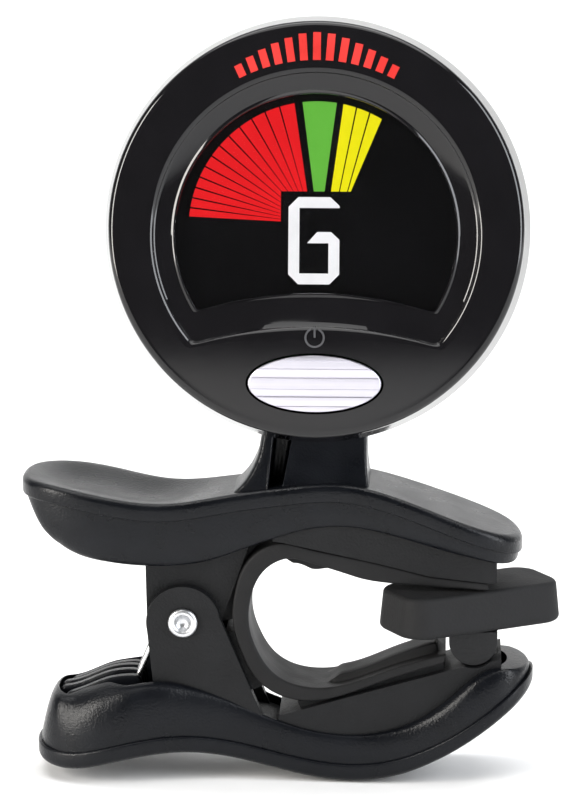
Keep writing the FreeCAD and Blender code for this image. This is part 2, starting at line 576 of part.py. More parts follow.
def electronics():
    """Board with its parts, pickup disc, coin cell and contacts."""
    low, high = BOARD_Y
    keep_head("main_board", disc(BOARD_R, low, high))
    chips = [box(-14.5, -10.5, high, high + 0.5, -2.0, 2.0), box(-13, -11, high, high + 0.5, -8, -6)]
    chips += [box(11 + 1.6 * i, 12 + 1.6 * i, high, high + 0.5, -12.5, -11.9) for i in range(2)]
    keep_head("board_parts", Part.Compound(chips))
    keep_head("pickup_disc", disc(3.6, high, high + 0.4, 12.5, -6.0))
    keep_head("coin_cell", disc(CELL_R, 10.4 - CELL_T, 10.4, 0, CELL_UP))
    keep_head("contact_minus", box(-4, 4, high, 10.4 - CELL_T, CELL_UP - 2.5, CELL_UP + 2.5).cut(
        box(-5, 3, high + 0.2, 7.05, CELL_UP - 3, CELL_UP + 3)))
    arm = box(CELL_R + 0.05, CELL_R + 0.35, high, 9.6, CELL_UP - 2, CELL_UP + 2)
    foot = box(CELL_R + 0.05, CELL_R + 2.2, high, high + 0.2, CELL_UP - 2, CELL_UP + 2)
    keep_head("contact_plus", arm.fuse(foot).removeSplitter())


def main():
    clip_levers()
    pivot()
    strap()
    pad()
    ball_joint()
    casing()
    button()
    display()
    level_bars()
    electronics()
    os.makedirs("parts", exist_ok=True)
    for name, shape in PARTS.items():
        placed = shape.copy()
        placed.translate(V(-PAD_AT[0], 0, -PAD_AT[1]))
        placed.exportStep("parts/" + name + ".step")


main()
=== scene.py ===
"""Finished surfaces and materials for a clip-on tuner: display head, ball joint and sprung clip.

Pieces are worked out in millimetres about three places that the frame gives: the clip's pivot pin,
the ball, and the middle of the pad's gripping face. put() turns them into metres in the frame.
"""
import json
import math

import bmesh
import bpy
import numpy as np
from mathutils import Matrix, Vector

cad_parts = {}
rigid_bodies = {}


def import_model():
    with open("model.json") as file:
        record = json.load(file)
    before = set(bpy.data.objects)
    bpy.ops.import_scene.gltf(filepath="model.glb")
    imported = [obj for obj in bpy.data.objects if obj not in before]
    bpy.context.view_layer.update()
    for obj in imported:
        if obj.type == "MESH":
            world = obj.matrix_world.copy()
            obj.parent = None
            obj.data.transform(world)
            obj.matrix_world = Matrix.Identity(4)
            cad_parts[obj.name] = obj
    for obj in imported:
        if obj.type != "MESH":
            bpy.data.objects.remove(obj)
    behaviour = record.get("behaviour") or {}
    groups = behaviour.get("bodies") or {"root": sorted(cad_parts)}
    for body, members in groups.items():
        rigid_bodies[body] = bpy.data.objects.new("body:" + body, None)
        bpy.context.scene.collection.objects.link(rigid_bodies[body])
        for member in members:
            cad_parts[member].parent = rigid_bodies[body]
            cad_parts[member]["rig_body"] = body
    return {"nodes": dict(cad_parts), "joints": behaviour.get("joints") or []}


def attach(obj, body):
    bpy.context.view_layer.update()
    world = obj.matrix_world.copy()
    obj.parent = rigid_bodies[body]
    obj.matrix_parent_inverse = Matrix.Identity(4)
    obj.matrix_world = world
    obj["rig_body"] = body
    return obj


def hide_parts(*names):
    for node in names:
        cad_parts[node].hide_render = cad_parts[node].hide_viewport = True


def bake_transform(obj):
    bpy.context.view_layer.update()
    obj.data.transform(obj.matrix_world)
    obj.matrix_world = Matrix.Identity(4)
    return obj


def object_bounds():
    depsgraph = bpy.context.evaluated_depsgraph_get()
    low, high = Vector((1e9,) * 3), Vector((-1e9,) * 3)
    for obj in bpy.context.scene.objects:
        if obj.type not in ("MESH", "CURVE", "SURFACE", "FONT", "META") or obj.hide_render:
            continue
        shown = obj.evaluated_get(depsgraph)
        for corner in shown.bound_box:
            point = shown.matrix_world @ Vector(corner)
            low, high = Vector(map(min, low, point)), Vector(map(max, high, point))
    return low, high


bl_info = {
    "name": "Clip-on tuner finish",
    "version": (1, 0, 0),
    "blender": (4, 5, 0),
    "location": "View3D > Sidebar > Tuner",
    "description": "Moulded surfaces, rubber, metal and lit display of a clip-on tuner",
    "category": "Object",
}

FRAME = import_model()
JOINTS = {joint["name"]: joint for joint in FRAME["joints"]}
PIN = np.array(JOINTS["clip_open"]["pos_m"]) * 1000
BALL = np.array(JOINTS["head_tilt"]["pos_m"]) * 1000
FACE_OUT = np.array(JOINTS["head_spin"]["axis"])        # out of the middle of the face
BALL_IN_HEAD = np.array([0.0, 13.5, -13.0])             # ball from the face: depth, height
CAD_BOX = [list(corner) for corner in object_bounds()]

# side views of the clip from the pivot pin (x towards the jaws, z up), as on the frame's levers
HALF_PLAN = [(-17.3, 4.9), (-13.6, 7.4), (-8.1, 8.2), (-2.1, 7.1), (3.9, 5.9), (10.9, 5.5),
             (18.9, 5.7), (26.9, 6.5), (33.0, 6.8), (36.6, 5.3)]
PLAN_ENDS = (-18.5, 38.5)
LOWER_SHIFT = 1.4
COVER_T = 2.0
BODY_INSET = 0.4                                        # body's wall in from the cover's edge
FLOOR_DEPTH = COVER_T + 1.2                             # body's floor below the cover's outer face
UPPER_TOP = [(-19.5, 16.6), (-14.0, 16.2), (-8.0, 15.1), (-2.0, 14.25), (5.0, 15.0), (12.0, 15.95),
             (18.5, 16.3), (24.0, 15.1), (31.0, 12.6), (39.5, 9.6)]
UPPER_EDGE = [(-17.9, 14.4), (-16.3, 11.6), (-13.8, 9.1), (-9.0, 7.4), (-3.5, 6.8), (2.0, 7.1),
              (8.0, 9.1), (14.0, 11.0), (18.4, 11.4), (24.0, 10.4), (31.0, 8.5), (38.5, 6.8)]
LOWER_TOP = [(-18.5, -16.4), (-13.5, -17.0), (-8.0, -15.9), (-1.0, -14.9), (5.0, -15.6),
             (12.0, -17.4), (19.0, -18.4), (25.0, -17.4), (32.0, -13.7), (40.5, -7.2)]
LOWER_EDGE = [(-17.0, -14.6), (-15.8, -10.3), (-13.5, -8.4), (-9.0, -6.8), (-3.0, -6.7),
              (2.0, -7.9), (9.8, -11.1), (13.6, -12.4), (18.2, -13.1), (22.9, -12.7),
              (27.5, -10.8), (30.9, -8.1), (34.0, -5.5), (36.8, -5.0), (40.5, -5.4)]
# the strap's outer and inner side, station by station from the upper arm's tip to the lower's
STRAP_OUT = [(34.6, 4.8), (31.0, 5.2), (28.0, 5.55), (25.6, 6.15), (23.4, 6.7), (21.0, 7.25),
             (19.2, 7.63), (14.0, 8.72), (11.2, 9.25), (7.5, 7.3), (5.85, 3.2), (5.7, -0.4),
             (6.7, -3.7), (8.4, -6.8), (11.3, -8.75), (15.5, -9.15), (22.5, -6.9), (29.6, -4.6)]
STRAP_IN = [(34.6, 4.05), (31.0, 4.2), (28.0, 4.4), (25.2, 4.6), (22.9, 4.8), (20.4, 5.2),
            (18.6, 5.75), (14.2, 7.1), (12.2, 7.5), (9.4, 6.2), (7.8, 3.2), (7.5, -0.2),
            (8.3, -3.0), (9.9, -5.6), (12.4, -7.2), (16.6, -7.6), (23.2, -5.55), (29.9, -3.5)]
STRAP_HALF = 4.4
PAD = (20.8, 9.6, 4.7)                                  # length, width, thickness
PAD_CORNER = 3.1
PAD_TURN = 30                                           # degrees round the pad's stem
PAD_SHIFT = -0.4
# window outline in the head: circle's radius and height, arch's crown and radius
RECESS = (17.46, -0.7, -10.32, 44.3)
WINDOW = (15.21, -0.6, -6.85, 42.0)
RECESS_DEPTH = 2.1
DOME_R = 150.0
RIM_R = 21.7                                            # edge of the domed face
ROLL = 0.8                                              # rounding from the face to the side wall
ROLL_Y = 2.4
OUTER_R = 23.2                                          # side wall at the case seam
WALL_R = 21.2                                           # inside of the side wall
SEAM_Y = 6.5
BACK_Y = 3.5                                            # back of the bezel's face
BUTTON = (14.4, 6.1, -16.6)                             # width, height, height on the face
BUTTON_RIBS = [(-2.46, 0.6), (-1.47, 1.0), (-0.59, 0.5), (0.61, 1.0), (1.6, 0.6), (2.48, 0.5)]
BUTTON_EDGE = 0.22
BUTTON_BACK = 2.9
# edges sharper than these, in degrees, stay sharp on a new piece or are rounded on a frame node
SHARP = 35
HARD_EDGE = 32


# ---- sizes and colours a user may change -----------------------------------------------------
def colour(name, note, default):
    """A colour a user may change."""
    return bpy.props.FloatVectorProperty(name=name, description=note, default=default, size=3,
                                         min=0, max=1, subtype="COLOR")


def amount(name, note, default):
    """A size or strength a user may change."""
    return bpy.props.FloatProperty(name=name, description=note, default=default, min=0, max=10)


class TunerHeadLook(bpy.types.PropertyGroup):
    """Colours and sizes of the display head"""
    gloss: colour("Casing", "Colour of the polished bezel", (0.0045, 0.0042, 0.0050))
    rim_round: amount("Rim round", "Rounding of the recess's outer rim, in millimetres", 0.8)
    silver: colour("Button", "Colour of the satin power button", (0.60, 0.585, 0.65))
    rib: amount("Button rib", "Height of the button's ribs, in millimetres", 0.2)
    proud: amount("Button stand", "How far the button stands out of the face, in millimetres", 0.3)
    glow: amount("Glow", "Brightness of the lit segments", 1.0)


class TunerClipLook(bpy.types.PropertyGroup):
    """Colours and sizes of the clip"""
    satin: colour("Lever", "Colour of the levers' satin plastic", (0.0034, 0.0040, 0.0056))
    matt: colour("Frame", "Colour of the inner frames' matt plastic", (0.0065, 0.0068, 0.0076))
    rubber: colour("Rubber", "Colour of the strap and pad", (0.0095, 0.0095, 0.0100))
    cover_round: amount("Cover edge", "Rounding of a cover's outer edge, in millimetres", 0.75)
    dish: amount("Finger dish", "Depth of the finger dish in a handle, in millimetres", 1.0)
    wall: amount("Handle wall", "Thickest wall of a lever body, in millimetres", 1.9)
    grip: amount("Grip height", "Height of the strap's raised grips, in millimetres", 1.3)


# ---- surfaces ----------------------------------------------------------------------------------
def cubic(knots, values, at):
    """Natural cubic through the knots: on each span the straight blend of its two ends plus the
    cubic bend terms (a^3 - a) and (b^3 - b) times the second derivatives found from one linear
    system that makes slopes meet."""
    knots, values = np.asarray(knots, float), np.asarray(values, float)
    step = np.diff(knots)
    matrix = np.eye(len(knots))
    row = np.arange(1, len(knots) - 1)
    matrix[row, row - 1] = step[:-1]
    matrix[row, row] = 2 * (step[:-1] + step[1:])
    matrix[row, row + 1] = step[1:]
    right = np.zeros_like(values)
    slope = (np.diff(values, axis=0).T / step).T
    right[1:-1] = 6 * np.diff(slope, axis=0)
    bend = np.linalg.solve(matrix, right)
    i = np.clip(np.searchsorted(knots, at) - 1, 0, len(knots) - 2)
    a = (knots[i + 1] - at) / step[i]
    b = 1 - a
    shape = (-1,) + (1,) * (values.ndim - 1)
    a, b, h = a.reshape(shape), b.reshape(shape), step[i].reshape(shape)
    bends = (a ** 3 - a) * bend[i] + (b ** 3 - b) * bend[i + 1]
    return a * values[i] + b * values[i + 1] + bends * h ** 2 / 6


def height(points, x):
    """Height of a side-view curve over any array of x."""
    points = np.array(points)
    return cubic(points[:, 0], points[:, 1], np.ravel(x)).reshape(np.shape(x))


def through(points, count):
    """Points spread evenly by parameter on the smooth curve through the given ones, which are
    spaced by the straight distance between them."""
    points = np.array(points, float)
    run = np.r_[0, np.cumsum(np.linalg.norm(np.diff(points, axis=0), axis=1))]
    return cubic(run, points, np.linspace(0, run[-1], count))


def smooth(low, high, value):
    """0 below low, 1 above high, and the cubic t^2 (3 - 2 t) between."""
    t = np.clip((value - low) / (high - low), 0, 1)
    return t * t * (3 - 2 * t)


def plan_outline(shift, count=150):
    """Closed plan of a lever and its outward normals: the smooth loop through the plan's points,
    three times round so that its seam is smooth, of which one half is kept and mirrored in y."""
    half = [(PLAN_ENDS[0], 0.0)] + HALF_PLAN + [(PLAN_ENDS[1], 0.0)]
    loop = np.array(half + [(x, -y) for x, y in reversed(half[1:-1])])
    long = np.vstack([loop, loop, loop, loop[:1]])
    run = np.r_[0, np.cumsum(np.linalg.norm(np.diff(long, axis=0), axis=1))]
    start, end = run[len(loop)], run[len(loop) + len(half) - 1]
    spread = (1 - np.cos(np.linspace(0, np.pi, count))) / 2
    spread = 0.5 * spread + 0.5 * np.linspace(0, 1, count)
    upper = cubic(run, long, start + (end - start) * spread)
    upper[[0, -1], 1] = 0
    ring = np.vstack([upper, (upper * [1, -1])[-2:0:-1]])
    along = np.roll(ring, -1, axis=0) - np.roll(ring, 1, axis=0)
    normal = np.stack([-along[:, 1], along[:, 0]], 1)
    normal /= np.linalg.norm(normal, axis=1)[:, None]
    return ring + [shift, 0], normal


def grid_faces(rows, columns, close_rows=False, close_columns=False):
    """Quads of a grid of points, wrapped round in either direction on request."""
    r = np.arange(rows if close_rows else rows - 1)[:, None]
    c = np.arange(columns if close_columns else columns - 1)[None, :]
    r1, c1 = (r + 1) % rows, (c + 1) % columns
    quads = np.stack([r * columns + c, r * columns + c1, r1 * columns + c1, r1 * columns + c], -1)
    return quads.reshape(-1, 4)


def put(points, origin=PIN):
    """Millimetres about a place to metres in the frame."""
    return (points + origin) / 1000


def on_head(points):
    """Head's own millimetres (right, into the head, up the face) to the frame: turned by the
    face's tilt about the ball, then carried to the ball."""
    tilt_cos, tilt_sin = -FACE_OUT[1], FACE_OUT[2]
    x, y, z = np.moveaxis(points - BALL_IN_HEAD, -1, 0)
    turned = np.stack([x, y * tilt_cos + z * tilt_sin, z * tilt_cos - y * tilt_sin], -1)
    return put(turned, BALL)


def mesh_of(name, grids, sharp=SHARP):
    """One mesh from a list of (points, faces): coincident points merged, faces pointing outwards,
    shaded smooth but for edges sharper than the given angle."""
    mesh = bpy.data.meshes.new(name)
    count, points, faces = 0, [], []
    for grid, quads in grids:
        flat = np.reshape(grid, (-1, 3))
        points.append(flat)
        faces.append(quads + count)
        count += len(flat)
    mesh.from_pydata(np.vstack(points), [], np.vstack(faces).tolist())
    work = bmesh.new()
    work.from_mesh(mesh)
    bmesh.ops.remove_doubles(work, verts=work.verts, dist=2e-6)
    bmesh.ops.recalc_face_normals(work, faces=work.faces)
    work.to_mesh(mesh)
    work.free()
    mesh.shade_smooth()
    mesh.set_sharp_from_angle(angle=math.radians(sharp))
    return mesh


def piece(name, grids, body, material, replaced=(), sharp=SHARP):
    """Adds a piece: its mesh, its material, the body it rides on and the nodes it stands for."""
    thing = bpy.data.objects.new(name, mesh_of(name, grids, sharp))
    bpy.context.scene.collection.objects.link(thing)
    thing.data.materials.append(material)
    if body:
        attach(thing, body)
    if replaced:
        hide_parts(*replaced)
    return thing


def softened(node, width, material):
    """The frame's own node with its points merged and its hard edges rounded by a small bevel."""
    source = FRAME["nodes"][node]
    mesh = source.data.copy()
    work = bmesh.new()
    work.from_mesh(mesh)
    bmesh.ops.remove_doubles(work, verts=work.verts, dist=1e-6)
    bmesh.ops.dissolve_limit(work, angle_limit=math.radians(0.5), verts=work.verts, edges=work.edges)
    work.to_mesh(mesh)
    work.free()
    mesh.materials.clear()
    mesh.materials.append(material)
    mesh.shade_smooth()
    thing = bpy.data.objects.new(node + "_finished", mesh)
    bpy.context.scene.collection.objects.link(thing)
    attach(thing, source["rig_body"])
    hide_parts(node)
    mesh.set_sharp_from_angle(angle=math.radians(HARD_EDGE))
    bevel = thing.modifiers.new("Edge", "BEVEL")
    bevel.width = width / 1000
    bevel.segments = 2
    bevel.limit_method = "ANGLE"
    bevel.angle_limit = math.radians(HARD_EDGE)
    bevel.harden_normals = True
    return thing


# ---- finishes ------------------------------------------------------------------------------------
def finish(name, base, rough, spread=0.05, grain=(4000, 0.02), tone=0.25, stretch=(1, 1, 1), **sockets):
    """Material whose colour and roughness drift with a slow noise and whose surface has a fine
    grain, both on Object coordinates. spread and tone are how far roughness and colour drift,
    grain is the pattern's frequency per metre and its depth in millimetres."""
    material = bpy.data.materials.new(name)
    material.use_nodes = True
    nodes, links = material.node_tree.nodes, material.node_tree.links
    shader = nodes["Principled BSDF"]
    place = nodes.new("ShaderNodeTexCoord")
    turn = nodes.new("ShaderNodeMapping")
    turn.inputs["Scale"].default_value = stretch
    links.new(place.outputs["Object"], turn.inputs["Vector"])
    slow = nodes.new("ShaderNodeTexNoise")
    slow.inputs["Scale"].default_value = 260
    slow.inputs["Detail"].default_value = 3
    links.new(turn.outputs["Vector"], slow.inputs["Vector"])
    tint = nodes.new("ShaderNodeValToRGB")
    tint.color_ramp.elements[0].position = 0.3
    tint.color_ramp.elements[1].position = 0.7
    tint.color_ramp.elements[0].color = (*[c * (1 - tone) for c in base], 1)
    tint.color_ramp.elements[1].color = (*[min(1, c * (1 + tone)) for c in base], 1)
    links.new(slow.outputs["Fac"], tint.inputs["Fac"])
    links.new(tint.outputs["Color"], shader.inputs["Base Color"])
    drift = nodes.new("ShaderNodeMapRange")
    drift.inputs["From Min"].default_value = 0.3
    drift.inputs["From Max"].default_value = 0.7
    drift.inputs["To Min"].default_value = max(0.02, rough - spread)
    drift.inputs["To Max"].default_value = min(1, rough + spread)
    links.new(slow.outputs["Fac"], drift.inputs["Value"])
    links.new(drift.outputs["Result"], shader.inputs["Roughness"])
    if grain:
        fine = nodes.new("ShaderNodeTexNoise")
        fine.inputs["Scale"].default_value = grain[0]
        fine.inputs["Detail"].default_value = 2
        links.new(turn.outputs["Vector"], fine.inputs["Vector"])
        bump = nodes.new("ShaderNodeBump")
        bump.inputs["Distance"].default_value = grain[1] / 1000
        links.new(fine.outputs["Fac"], bump.inputs["Height"])
        links.new(bump.outputs["Normal"], shader.inputs["Normal"])
    for socket, value in sockets.items():
        shader.inputs[socket.replace("_", " ")].default_value = value
    return material


def lit(name, shade, glow):
    """A lit segment: its colour glows evenly with a faint mottle, over a dark backing."""
    material = finish(name, [c * 0.05 for c in shade], 0.5, grain=None, tone=0.1,
                      Specular_IOR_Level=0.05)
    nodes, links = material.node_tree.nodes, material.node_tree.links
    shader = nodes["Principled BSDF"]
    place = nodes.new("ShaderNodeTexCoord")
    mottle = nodes.new("ShaderNodeTexNoise")
    mottle.inputs["Scale"].default_value = 900
    links.new(place.outputs["Object"], mottle.inputs["Vector"])
    tint = nodes.new("ShaderNodeValToRGB")
    tint.color_ramp.elements[0].color = (*[c * 0.92 for c in shade], 1)
    tint.color_ramp.elements[1].color = (*shade, 1)
    links.new(mottle.outputs["Fac"], tint.inputs["Fac"])
    links.new(tint.outputs["Color"], shader.inputs["Emission Color"])
    shader.inputs["Emission Strength"].default_value = glow
    return material


def circuit():
    """Board laminate: green resist, with paler tracks from the edges of a cell pattern."""
    material = finish("board_resist", (0.01, 0.075, 0.03), 0.35, grain=(3000, 0.01))
    nodes, links = material.node_tree.nodes, material.node_tree.links
    shader = nodes["Principled BSDF"]
    place = nodes.new("ShaderNodeTexCoord")
    cells = nodes.new("ShaderNodeTexVoronoi")
    cells.feature = "DISTANCE_TO_EDGE"
    cells.inputs["Scale"].default_value = 420
    links.new(place.outputs["Object"], cells.inputs["Vector"])
    track = nodes.new("ShaderNodeValToRGB")
    track.color_ramp.interpolation = "CONSTANT"
    track.color_ramp.elements[0].color = (0.05, 0.17, 0.06, 1)
    track.color_ramp.elements[1].color = (0.008, 0.06, 0.025, 1)
    track.color_ramp.elements[1].position = 0.08
    links.new(cells.outputs["Distance"], track.inputs["Fac"])
    links.new(track.outputs["Color"], shader.inputs["Base Color"])
    return material


def dress(slot, material, *names):
    """Gives frame nodes a finish, keeping their meshes."""
    for name in names:
        mesh = FRAME["nodes"][name].data
        mesh.materials.clear()
        mesh.materials.append(material)


# ---- head ------------------------------------------------------------------------------------------
def sag(radius):
    """Depth of the domed face at a radius."""
    return radius ** 2 / (2 * DOME_R)


def dee(shape, angle, grow=0.0, corner=0.35):
    """Distance from the middle of the face to the window outline in each direction: the nearer of
    the circle and the arch, eased into each other by a soft minimum so the corners are round."""
    radius, middle, crown, arch = shape
    radius, crown, arch = radius + grow, crown - grow, arch - grow
    up = np.sin(angle)
    circle = middle * up + np.sqrt(radius ** 2 - (middle * np.cos(angle)) ** 2)
    low = arch - crown
    inside = (low * up) ** 2 - (low ** 2 - arch ** 2)
    meets = (inside > 0) & (up < 0)
    reach = np.where(meets, -low * up - np.sqrt(np.maximum(inside, 0)), 60.0)
    near = np.minimum(circle, reach)
    return near - corner * np.log(np.exp((near - circle) / corner) + np.exp((near - reach) / corner))


def bezel_grid(look, around=640):
    """Bezel as a ring: direction round the face by position on its section. The section runs from
    the rim over the domed face, rounds into the sloped recess, steps over a small lip at the
    window, turns behind the window's rebate and comes back along the inside wall."""
    angle = np.linspace(0, 2 * np.pi, around, endpoint=False)[:, None]
    recess, window = dee(RECESS, angle), dee(WINDOW, angle)
    rebate = dee(WINDOW, angle, 0.7)
    soft = look.rim_round
    share = np.linspace(0, 1, 14)[None, :]
    face_r = RIM_R + (recess + soft - RIM_R) * share
    face = [face_r, sag(face_r)]
    bend = np.linspace(0, 1, 9)[None, 1:]
    edge_r = recess + soft * (1 - bend)
    edge = [edge_r, sag(edge_r) + 0.55 * bend ** 2.2]
    rim_end = edge[1][:, -1:]
    slope = np.linspace(0, 1, 9)[None, 1:]
    ramp_r = recess + (window + 0.45 - recess) * slope
    ramp = [ramp_r, rim_end + (RECESS_DEPTH - 0.02 - rim_end) * (slope * (1.2 - 0.2 * slope))]
    one = np.ones_like(recess)
    lip = [np.hstack([window + 0.30, window + 0.16, window + 0.04, window, window]),
           np.hstack([one * 2.02, one * 1.93, one * 1.95, one * 2.05, one * 2.3])]
    rest_r = np.hstack([rebate, rebate, one * WALL_R, one * WALL_R, one * OUTER_R])
    rest_y = np.hstack([one * 2.3, one * BACK_Y, one * BACK_Y, one * SEAM_Y, one * SEAM_Y])
    up_wall = np.linspace(0, 1, 10)[None, 1:]
    wall_r = OUTER_R + (RIM_R + ROLL - OUTER_R) * up_wall + 0 * one
    wall_y = SEAM_Y + (ROLL_Y - SEAM_Y) * up_wall + 0 * one
    roll = np.linspace(0, np.pi / 2, 12)[None, 1:-1]
    roll_r = RIM_R + ROLL * np.cos(roll) + 0 * one
    roll_y = ROLL_Y - (ROLL_Y - sag(RIM_R)) * np.sin(roll) + 0 * one
    r = np.hstack([face[0], edge[0], ramp[0], lip[0], rest_r, wall_r, roll_r])
    y = np.hstack([face[1], edge[1], ramp[1], lip[1], rest_y, wall_y, roll_y])
    return np.stack([r * np.cos(angle), y, r * np.sin(angle)], -1)


def oval_prism(width, tall, y0, y1, up, around=160):
    """Upright oval column through the face, closed at both ends."""
    turn = np.linspace(0, 2 * np.pi, around, endpoint=False)[:, None]
    grow = np.array([[0.0, 1.0, 1.0, 0.0]])
    depth = np.array([[y0, y0, y1, y1]]) + 0 * turn
    return np.stack([width / 2 * np.cos(turn) * grow, depth, up + tall / 2 * np.sin(turn) * grow], -1)


def cut_out(thing, grid):
    """Takes a closed grid out of a piece for good, then shades it again."""
    tool = bpy.data.objects.new("cutter", mesh_of("cutter", [grid]))
    bpy.context.scene.collection.objects.link(tool)
    cut = thing.modifiers.new("Opening", "BOOLEAN")
    cut.operation = "DIFFERENCE"
    cut.solver = "EXACT"
    cut.object = tool
    graph = bpy.context.evaluated_depsgraph_get()
    made = bpy.data.meshes.new_from_object(thing.evaluated_get(graph))
    thing.modifiers.clear()
    thing.data = made
    made.shade_smooth()
    made.set_sharp_from_angle(angle=math.radians(SHARP))
    bpy.data.objects.remove(tool)


class TUNER_OT_casing(bpy.types.Operator):
    """Polished bezel and rear shell of the display head"""
    bl_idname = "tuner.casing"
    bl_label = "Casing"

    def execute(self, context):
        look = context.scene.tuner_head
        gloss = finish("gloss_black", look.gloss, 0.075, 0.02, (700, 0.0015), 0.12,
                       Specular_IOR_Level=0.42)
        grid = bezel_grid(look)
        rows, columns = grid.shape[:2]
        bezel = piece("bezel", [(on_head(grid), grid_faces(rows, columns, True, True))], "head",
                      gloss, ["front_bezel"])
        hole = oval_prism(BUTTON[0] + 0.5, BUTTON[1] + 0.5, -1, 4.2, BUTTON[2])
        cut_out(bezel, (on_head(hole), grid_faces(*hole.shape[:2], True)))
        shell = finish("shell_black", [c * 1.4 for c in look.gloss], 0.22, 0.05, (2600, 0.006), 0.15)
        softened("rear_shell", 0.12, shell)
        softened("battery_door", 0.12, shell)
        steel = finish("screw_steel", (0.42, 0.42, 0.43), 0.32, 0.08, (5000, 0.01), 0.15, Metallic=1.0)
        dress("steel", steel, "case_screws")
        return {"FINISHED"}


def button_grid(look):
    """Power button: rows up its height by a loop round each row. The loop runs across the front,
    over a rounded edge, down the side and across the back, and its width at each height is the
    oval's. The front follows the domed face, raised by the stand, less a saw-tooth of ribs."""
    width, tall, up = BUTTON
    ribs, sizes = np.array(BUTTON_RIBS).T
    even = tall / 2 * np.sin(np.linspace(-np.pi / 2, np.pi / 2, 60))
    rows = np.sort(np.r_[even, ribs - 0.035, ribs + 0.035])[:, None]
    oval = np.clip(1 - (2 * rows / tall) ** 2, 0, 1)
    half = width / 2 * np.sqrt(oval)
    inner = np.maximum(half - BUTTON_EDGE, 0)
    bend = np.linspace(0, np.pi / 2, 6)[1:]
    edge = inner + (half - inner) * np.sin(bend)
    drop = BUTTON_EDGE * (1 - np.cos(bend))[None, :]
    across = np.linspace(-1, 1, 41)
    behind = half * across[::-1]
    ahead = (rows - ribs) / 0.9
    saw = np.where(ahead > 0, np.clip(1 - ahead, 0, 1), 0) @ sizes[:, None]
    front = sag(np.hypot(inner * across, up + rows)) - look.proud + look.rib * saw
    front = front + 0.2 * (1 - np.sqrt(oval)) ** 2
    back = BUTTON_BACK + 0 * rows
    x = np.hstack([inner * across, edge, half, behind, -half, -edge[:, ::-1]])
    y = np.hstack([front, front[:, -1:] + drop, back, back + 0 * behind, back,
                   front[:, :1] + drop[:, ::-1]])
    return np.stack([x, y, up + rows + 0 * x], -1)


class TUNER_OT_button(bpy.types.Operator):
    """Ribbed satin power button, its plunger and its switch"""
    bl_idname = "tuner.button"
    bl_label = "Power button"

    def execute(self, context):
        look = context.scene.tuner_head
        silver = finish("satin_silver", look.silver, 0.36, 0.08, (1500, 0.012), 0.10, (0.12, 1, 6),
                        Metallic=0.85)
        grid = button_grid(look)
        piece("button_cap", [(on_head(grid), grid_faces(*grid.shape[:2], False, True))], "button",
              silver, ["power_button"], 30)
        metal = finish("switch_metal", (0.5, 0.47, 0.4), 0.35, 0.06, (3000, 0.01), 0.1, Metallic=1.0)
        white = finish("plunger_nylon", (0.7, 0.7, 0.66), 0.5, 0.05, (2500, 0.01), 0.05)
        dress("white", white, "button_plunger")
        dress("steel", metal, "dome_switch")
        return {"FINISHED"}


class TUNER_OT_display(bpy.types.Operator):
    """Window, panel and lit segments of the display"""
    bl_idname = "tuner.display"
    bl_label = "Display"

    def execute(self, context):
        look = context.scene.tuner_head
        glass = finish("window_clear", (0.93, 0.93, 0.95), 0.03, 0.01, (300, 0.0006), 0.02,
                       Transmission_Weight=1.0, IOR=1.25, Specular_IOR_Level=0.08)
        dress("window", glass, "display_window")
        dark = finish("panel_black", (0.0012, 0.0012, 0.0015), 0.4, 0.05, (2500, 0.002), 0.3,
                      Specular_IOR_Level=0.08)
        dress("lcd", dark, "lcd_panel")
        dress("red", lit("lit_red", (0.86, 0.012, 0.016), look.glow), "meter_red")
        dress("green", lit("lit_green", (0.14, 0.51, 0.055), look.glow), "meter_green")
        dress("yellow", lit("lit_yellow", (0.95, 0.87, 0.006), look.glow), "meter_yellow")
        dress("white", lit("lit_white", (1.0, 1.0, 1.0), look.glow), "note_readout")
        red = finish("mark_red", (0.50, 0.022, 0.018), 0.4, 0.06, (3500, 0.008), 0.12)
        grey = finish("mark_grey", (0.055, 0.055, 0.06), 0.35, 0.05, (3500, 0.006), 0.12)
        dress("mark_red", red, "level_mark")
        dress("mark_grey", grey, "standby_mark")
        return {"FINISHED"}


class TUNER_OT_electronics(bpy.types.Operator):
    """Board, cell, contacts and the light guide inside the head"""
    bl_idname = "tuner.electronics"
    bl_label = "Electronics"

    def execute(self, context):
        chip = finish("chip_epoxy", (0.012, 0.012, 0.013), 0.5, 0.08, (4000, 0.01), 0.2)
        acrylic = finish("guide_acrylic", (0.8, 0.82, 0.84), 0.3, 0.05, (900, 0.004), 0.04,
                         Transmission_Weight=0.4)
        rubber = finish("strip_rubber", (0.02, 0.02, 0.02), 0.7, 0.05, (3000, 0.02), 0.2)
        brass = finish("brass", (0.62, 0.45, 0.18), 0.3, 0.08, (4000, 0.006), 0.12, Metallic=1.0)
        steel = finish("cell_steel", (0.58, 0.58, 0.57), 0.28, 0.08, (2500, 0.006), 0.1, (1, 1, 5),
                       Metallic=1.0)
        dress("board", circuit(), "main_board")
        dress("chip", chip, "board_parts")
        dress("guide", acrylic, "light_guide")
        dress("rubber", rubber, "contact_strip")
        dress("brass", brass, "pickup_disc", "contact_minus", "contact_plus")
        dress("steel", steel, "coin_cell")
        return {"FINISHED"}


class TUNER_OT_ball_joint(bpy.types.Operator):
    """Ball, liner, cup and ring behind the head"""
    bl_idname = "tuner.ball_joint"
    bl_label = "Ball joint"

    def execute(self, context):
        ball = finish("ball_nylon", (0.015, 0.015, 0.016), 0.3, 0.06, (2000, 0.006), 0.15)
        liner = finish("liner_nylon", (0.05, 0.05, 0.052), 0.45, 0.05, (2500, 0.008), 0.12)
        dress("nylon", ball, "ball_stud")
        dress("nylon", liner, "ball_liner")
        cup = finish("cup_black", (0.009, 0.009, 0.010), 0.33, 0.06, (2600, 0.008), 0.15)
        softened("socket_cup", 0.1, cup)
        softened("socket_ring", 0.1, cup)
        return {"FINISHED"}


